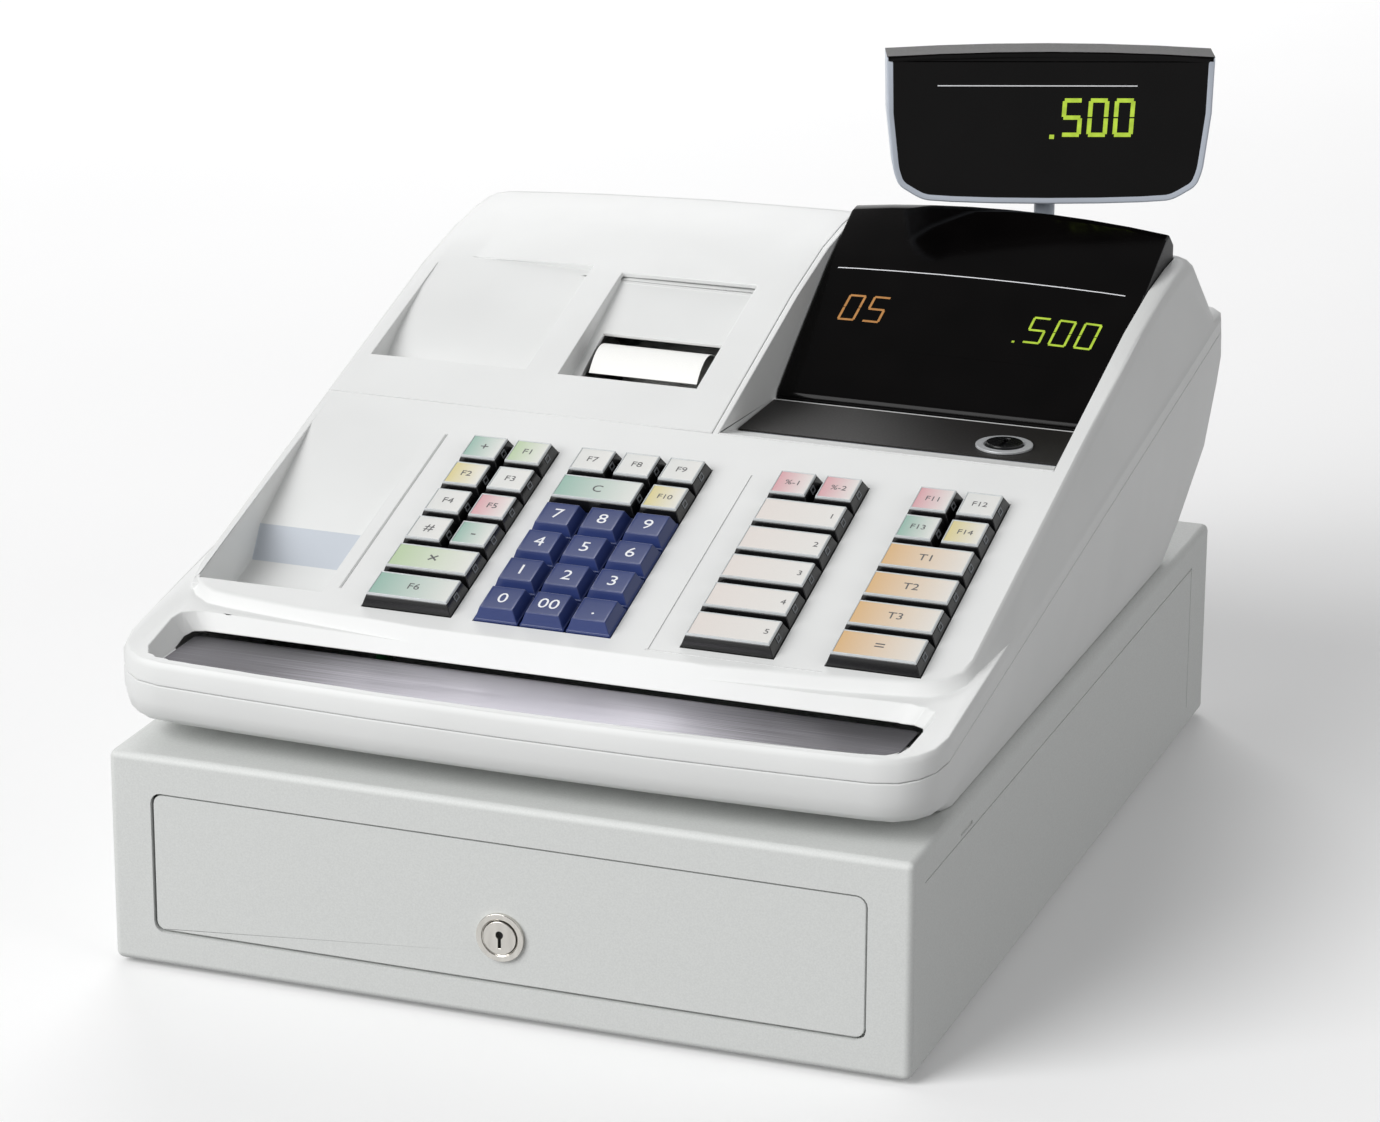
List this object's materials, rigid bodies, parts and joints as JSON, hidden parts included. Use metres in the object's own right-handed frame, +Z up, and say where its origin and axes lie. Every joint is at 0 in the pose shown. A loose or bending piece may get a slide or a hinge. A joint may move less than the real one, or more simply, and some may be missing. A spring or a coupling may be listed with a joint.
{
  "type": "cash register",
  "caption": "Electronic cash register: sprung keyboard, two-station printer under a hinged cover, operator and swivelling customer displays, on a locking cash drawer.",
  "frame": {"origin": "middle of the footprint, on the surface that the register stands on", "axes": "+X to the operator's right, +Y away from the operator, +Z up"},
  "size_m": [0.338, 0.4382, 0.3078],
  "materials": {
    "cabinet_paint": "fine textured grey paint on sheet steel",
    "case_plastic": "moulded, fine spark texture",
    "brushed_plate": "brushed along its length",
    "zinc_steel": "zinc plated",
    "nickel": "nickel plated",
    "tray_plastic": "moulded, matte",
    "grey_plastic": "moulded, matte",
    "gloss_black": "polished smoked acrylic",
    "black_plastic": "moulded, satin",
    "blue_key": "moulded, satin",
    "silver_key": "printed label under a clear cap",
    "paper": "wound paper, matte",
    "board": "green solder mask"
  },
  "bodies": {
    "housing": {"drawer_cabinet": "cabinet_paint", "lower_case": "case_plastic", "upper_case": "case_plastic", "palm_plate": "brushed_plate", "printer_unit": "grey_plastic", "main_board": "board", "power_transformer": "zinc_steel", "operator_display": "gloss_black"},
    "drawer": {"cash_drawer": "cabinet_paint", "coin_tray": "tray_plastic"},
    "lock_plug": {"drawer_lock_plug": "nickel"},
    "clips": {"bill_clips": "zinc_steel"},
    "cover": {"printer_cover": "case_plastic"},
    "receipt_paper": {"receipt_roll": "paper"},
    "journal_paper": {"journal_roll": "paper"},
    "mode_switch": {"mode_rotor": "black_plastic"},
    "mast": {"display_post": "grey_plastic"},
    "display_head": {"customer_display": "grey_plastic"},
    "button_feed_a": {"key_feed_a": "silver_key"},
    "button_feed_b": {"key_feed_b": "silver_key"},
    "button_function_a": {"key_function_a": "silver_key"},
    "button_function_b": {"key_function_b": "silver_key"},
    "button_open": {"key_open": "silver_key"},
    "button_void_all": {"key_void_all": "silver_key"},
    "button_number_sign": {"key_number_sign": "silver_key"},
    "button_void": {"key_void": "silver_key"},
    "button_multiply": {"key_multiply": "silver_key"},
    "button_receipt_copy": {"key_receipt_copy": "silver_key"},
    "button_after_receipt": {"key_after_receipt": "silver_key"},
    "button_receipt_feed": {"key_receipt_feed": "silver_key"},
    "button_journal_feed": {"key_journal_feed": "silver_key"},
    "button_clear": {"key_clear": "silver_key"},
    "button_ten_thousand": {"key_ten_thousand": "silver_key"},
    "button_digit_7": {"key_digit_7": "blue_key"},
    "button_digit_8": {"key_digit_8": "blue_key"},
    "button_digit_9": {"key_digit_9": "blue_key"},
    "button_digit_4": {"key_digit_4": "blue_key"},
    "button_digit_5": {"key_digit_5": "blue_key"},
    "button_digit_6": {"key_digit_6": "blue_key"},
    "button_digit_1": {"key_digit_1": "blue_key"},
    "button_digit_2": {"key_digit_2": "blue_key"},
    "button_digit_3": {"key_digit_3": "blue_key"},
    "button_digit_0": {"key_digit_0": "blue_key"},
    "button_digit_00": {"key_digit_00": "blue_key"},
    "button_point": {"key_point": "blue_key"},
    "button_percent_1": {"key_percent_1": "silver_key"},
    "button_percent_2": {"key_percent_2": "silver_key"},
    "button_department_1": {"key_department_1": "silver_key"},
    "button_department_2": {"key_department_2": "silver_key"},
    "button_department_3": {"key_department_3": "silver_key"},
    "button_department_4": {"key_department_4": "silver_key"},
    "button_department_5": {"key_department_5": "silver_key"},
    "button_discount": {"key_discount": "silver_key"},
    "button_guests": {"key_guests": "silver_key"},
    "button_coupon": {"key_coupon": "silver_key"},
    "button_exchange": {"key_exchange": "silver_key"},
    "button_card_total": {"key_card_total": "silver_key"},
    "button_charge_total": {"key_charge_total": "silver_key"},
    "button_subtotal": {"key_subtotal": "silver_key"},
    "button_cash_total": {"key_cash_total": "silver_key"}
  },
  "joints": [
    {"name": "drawer_slide", "type": "slide", "parent": "housing", "child": "drawer", "axis": [0, -1, 0], "range_m": [0, 0.28]},
    {"name": "lock_turn", "type": "hinge", "parent": "drawer", "child": "lock_plug", "pos_m": [0, -0.2179, 0.036], "axis": [0, -1, 0], "range_deg": [0, 90]},
    {"name": "clips_lift", "type": "hinge", "parent": "drawer", "child": "clips", "pos_m": [0, 0.1581, 0.054], "axis": [-1, 0, 0], "range_deg": [0, 20], "stiffness_Nm_per_rad": 0.25, "springref_deg": -20.05},
    {"name": "cover_hinge", "type": "hinge", "parent": "housing", "child": "cover", "pos_m": [0, 0.1971, 0.2026], "axis": [-1, 0, 0], "range_deg": [0, 100]},
    {"name": "receipt_spin", "type": "hinge", "parent": "housing", "child": "receipt_paper", "pos_m": [-0.037, 0.1041, 0.148], "axis": [1, 0, 0], "continuous": true},
    {"name": "journal_spin", "type": "hinge", "parent": "housing", "child": "journal_paper", "pos_m": [-0.112, 0.1041, 0.148], "axis": [1, 0, 0], "continuous": true},
    {"name": "mode_turn", "type": "hinge", "parent": "housing", "child": "mode_switch", "pos_m": [0.1241, 0.0237, 0.1715], "axis": [0, 0, 1], "range_deg": [-60, 90]},
    {"name": "mast_lift", "type": "slide", "parent": "housing", "child": "mast", "axis": [0, 0, 1], "range_m": [0, 0.025]},
    {"name": "head_turn", "type": "hinge", "parent": "mast", "child": "display_head", "pos_m": [0.093, 0.1816, 0.2406], "axis": [0, 0, 1], "range_deg": [-90, 180]},
    {"name": "press_feed_a", "type": "slide", "parent": "housing", "child": "button_feed_a", "axis": [0, 0.2857, -0.9583], "range_m": [0, 0.0035], "stiffness_N_per_m": 170, "springref_m": -0.002},
    {"name": "press_feed_b", "type": "slide", "parent": "housing", "child": "button_feed_b", "axis": [0, 0.2857, -0.9583], "range_m": [0, 0.0035], "stiffness_N_per_m": 170, "springref_m": -0.002},
    {"name": "press_function_a", "type": "slide", "parent": "housing", "child": "button_function_a", "axis": [0, 0.2857, -0.9583], "range_m": [0, 0.0035], "stiffness_N_per_m": 170, "springref_m": -0.002},
    {"name": "press_function_b", "type": "slide", "parent": "housing", "child": "button_function_b", "axis": [0, 0.2857, -0.9583], "range_m": [0, 0.0035], "stiffness_N_per_m": 170, "springref_m": -0.002},
    {"name": "press_open", "type": "slide", "parent": "housing", "child": "button_open", "axis": [0, 0.2857, -0.9583], "range_m": [0, 0.0035], "stiffness_N_per_m": 170, "springref_m": -0.002},
    {"name": "press_void_all", "type": "slide", "parent": "housing", "child": "button_void_all", "axis": [0, 0.2857, -0.9583], "range_m": [0, 0.0035], "stiffness_N_per_m": 170, "springref_m": -0.002},
    {"name": "press_number_sign", "type": "slide", "parent": "housing", "child": "button_number_sign", "axis": [0, 0.2857, -0.9583], "range_m": [0, 0.0035], "stiffness_N_per_m": 170, "springref_m": -0.002},
    {"name": "press_void", "type": "slide", "parent": "housing", "child": "button_void", "axis": [0, 0.2857, -0.9583], "range_m": [0, 0.0035], "stiffness_N_per_m": 170, "springref_m": -0.002},
    {"name": "press_multiply", "type": "slide", "parent": "housing", "child": "button_multiply", "axis": [0, 0.2857, -0.9583], "range_m": [0, 0.0035], "stiffness_N_per_m": 170, "springref_m": -0.002},
    {"name": "press_receipt_copy", "type": "slide", "parent": "housing", "child": "button_receipt_copy", "axis": [0, 0.2857, -0.9583], "range_m": [0, 0.0035], "stiffness_N_per_m": 170, "springref_m": -0.002},
    {"name": "press_after_receipt", "type": "slide", "parent": "housing", "child": "button_after_receipt", "axis": [0, 0.2857, -0.9583], "range_m": [0, 0.0035], "stiffness_N_per_m": 170, "springref_m": -0.002},
    {"name": "press_receipt_feed", "type": "slide", "parent": "housing", "child": "button_receipt_feed", "axis": [0, 0.2857, -0.9583], "range_m": [0, 0.0035], "stiffness_N_per_m": 170, "springref_m": -0.002},
    {"name": "press_journal_feed", "type": "slide", "parent": "housing", "child": "button_journal_feed", "axis": [0, 0.2857, -0.9583], "range_m": [0, 0.0035], "stiffness_N_per_m": 170, "springref_m": -0.002},
    {"name": "press_clear", "type": "slide", "parent": "housing", "child": "button_clear", "axis": [0, 0.2857, -0.9583], "range_m": [0, 0.0035], "stiffness_N_per_m": 170, "springref_m": -0.002},
    {"name": "press_ten_thousand", "type": "slide", "parent": "housing", "child": "button_ten_thousand", "axis": [0, 0.2857, -0.9583], "range_m": [0, 0.0035], "stiffness_N_per_m": 170, "springref_m": -0.002},
    {"name": "press_digit_7", "type": "slide", "parent": "housing", "child": "button_digit_7", "axis": [0, 0.2857, -0.9583], "range_m": [0, 0.0035], "stiffness_N_per_m": 170, "springref_m": -0.002},
    {"name": "press_digit_8", "type": "slide", "parent": "housing", "child": "button_digit_8", "axis": [0, 0.2857, -0.9583], "range_m": [0, 0.0035], "stiffness_N_per_m": 170, "springref_m": -0.002},
    {"name": "press_digit_9", "type": "slide", "parent": "housing", "child": "button_digit_9", "axis": [0, 0.2857, -0.9583], "range_m": [0, 0.0035], "stiffness_N_per_m": 170, "springref_m": -0.002},
    {"name": "press_digit_4", "type": "slide", "parent": "housing", "child": "button_digit_4", "axis": [0, 0.2857, -0.9583], "range_m": [0, 0.0035], "stiffness_N_per_m": 170, "springref_m": -0.002},
    {"name": "press_digit_5", "type": "slide", "parent": "housing", "child": "button_digit_5", "axis": [0, 0.2857, -0.9583], "range_m": [0, 0.0035], "stiffness_N_per_m": 170, "springref_m": -0.002},
    {"name": "press_digit_6", "type": "slide", "parent": "housing", "child": "button_digit_6", "axis": [0, 0.2857, -0.9583], "range_m": [0, 0.0035], "stiffness_N_per_m": 170, "springref_m": -0.002},
    {"name": "press_digit_1", "type": "slide", "parent": "housing", "child": "button_digit_1", "axis": [0, 0.2857, -0.9583], "range_m": [0, 0.0035], "stiffness_N_per_m": 170, "springref_m": -0.002},
    {"name": "press_digit_2", "type": "slide", "parent": "housing", "child": "button_digit_2", "axis": [0, 0.2857, -0.9583], "range_m": [0, 0.0035], "stiffness_N_per_m": 170, "springref_m": -0.002},
    {"name": "press_digit_3", "type": "slide", "parent": "housing", "child": "button_digit_3", "axis": [0, 0.2857, -0.9583], "range_m": [0, 0.0035], "stiffness_N_per_m": 170, "springref_m": -0.002},
    {"name": "press_digit_0", "type": "slide", "parent": "housing", "child": "button_digit_0", "axis": [0, 0.2857, -0.9583], "range_m": [0, 0.0035], "stiffness_N_per_m": 170, "springref_m": -0.002},
    {"name": "press_digit_00", "type": "slide", "parent": "housing", "child": "button_digit_00", "axis": [0, 0.2857, -0.9583], "range_m": [0, 0.0035], "stiffness_N_per_m": 170, "springref_m": -0.002},
    {"name": "press_point", "type": "slide", "parent": "housing", "child": "button_point", "axis": [0, 0.2857, -0.9583], "range_m": [0, 0.0035], "stiffness_N_per_m": 170, "springref_m": -0.002},
    {"name": "press_percent_1", "type": "slide", "parent": "housing", "child": "button_percent_1", "axis": [0, 0.2857, -0.9583], "range_m": [0, 0.0035], "stiffness_N_per_m": 170, "springref_m": -0.002},
    {"name": "press_percent_2", "type": "slide", "parent": "housing", "child": "button_percent_2", "axis": [0, 0.2857, -0.9583], "range_m": [0, 0.0035], "stiffness_N_per_m": 170, "springref_m": -0.002},
    {"name": "press_department_1", "type": "slide", "parent": "housing", "child": "button_department_1", "axis": [0, 0.2857, -0.9583], "range_m": [0, 0.0035], "stiffness_N_per_m": 170, "springref_m": -0.002},
    {"name": "press_department_2", "type": "slide", "parent": "housing", "child": "button_department_2", "axis": [0, 0.2857, -0.9583], "range_m": [0, 0.0035], "stiffness_N_per_m": 170, "springref_m": -0.002},
    {"name": "press_department_3", "type": "slide", "parent": "housing", "child": "button_department_3", "axis": [0, 0.2857, -0.9583], "range_m": [0, 0.0035], "stiffness_N_per_m": 170, "springref_m": -0.002},
    {"name": "press_department_4", "type": "slide", "parent": "housing", "child": "button_department_4", "axis": [0, 0.2857, -0.9583], "range_m": [0, 0.0035], "stiffness_N_per_m": 170, "springref_m": -0.002},
    {"name": "press_department_5", "type": "slide", "parent": "housing", "child": "button_department_5", "axis": [0, 0.2857, -0.9583], "range_m": [0, 0.0035], "stiffness_N_per_m": 170, "springref_m": -0.002},
    {"name": "press_discount", "type": "slide", "parent": "housing", "child": "button_discount", "axis": [0, 0.2857, -0.9583], "range_m": [0, 0.0035], "stiffness_N_per_m": 170, "springref_m": -0.002},
    {"name": "press_guests", "type": "slide", "parent": "housing", "child": "button_guests", "axis": [0, 0.2857, -0.9583], "range_m": [0, 0.0035], "stiffness_N_per_m": 170, "springref_m": -0.002},
    {"name": "press_coupon", "type": "slide", "parent": "housing", "child": "button_coupon", "axis": [0, 0.2857, -0.9583], "range_m": [0, 0.0035], "stiffness_N_per_m": 170, "springref_m": -0.002},
    {"name": "press_exchange", "type": "slide", "parent": "housing", "child": "button_exchange", "axis": [0, 0.2857, -0.9583], "range_m": [0, 0.0035], "stiffness_N_per_m": 170, "springref_m": -0.002},
    {"name": "press_card_total", "type": "slide", "parent": "housing", "child": "button_card_total", "axis": [0, 0.2857, -0.9583], "range_m": [0, 0.0035], "stiffness_N_per_m": 170, "springref_m": -0.002},
    {"name": "press_charge_total", "type": "slide", "parent": "housing", "child": "button_charge_total", "axis": [0, 0.2857, -0.9583], "range_m": [0, 0.0035], "stiffness_N_per_m": 170, "springref_m": -0.002},
    {"name": "press_subtotal", "type": "slide", "parent": "housing", "child": "button_subtotal", "axis": [0, 0.2857, -0.9583], "range_m": [0, 0.0035], "stiffness_N_per_m": 170, "springref_m": -0.002},
    {"name": "press_cash_total", "type": "slide", "parent": "housing", "child": "button_cash_total", "axis": [0, 0.2857, -0.9583], "range_m": [0, 0.0035], "stiffness_N_per_m": 170, "springref_m": -0.002}
  ]
}
